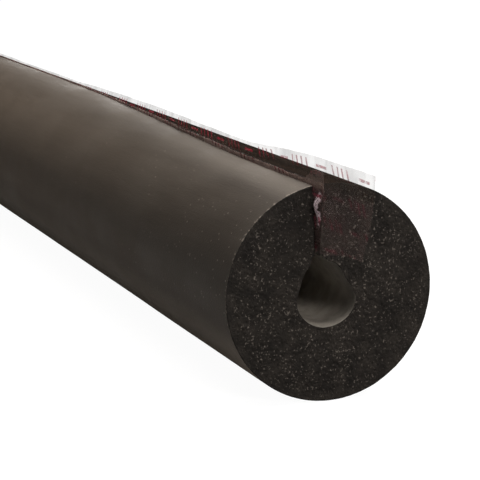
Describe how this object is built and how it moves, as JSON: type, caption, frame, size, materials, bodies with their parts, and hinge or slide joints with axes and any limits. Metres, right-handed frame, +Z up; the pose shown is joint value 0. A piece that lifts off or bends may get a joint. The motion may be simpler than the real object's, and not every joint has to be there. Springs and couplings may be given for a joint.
{
  "type": "foam pipe insulation tube",
  "caption": "Thick-walled black foam lagging tube, split along its top to the bore so that it opens over a pipe, with clear release films on the split's tacky faces.",
  "frame": {"origin": "on the floor under the middle of the tube's length, straight below the axis of its round skin", "axes": "+X along the tube towards the end that the picture shows, +Z up through the split, +Y towards the side of the tall film"},
  "size_m": [2.076, 0.072, 0.0799],
  "materials": {
    "foam": "matte closed-cell foam with a smooth skin and cut ends",
    "release_film": "clear thin film with red print"
  },
  "bodies": {
    "root": {"foam_tube": "foam", "release_film_tall": "release_film", "release_film_short": "release_film"}
  },
  "joints": []
}
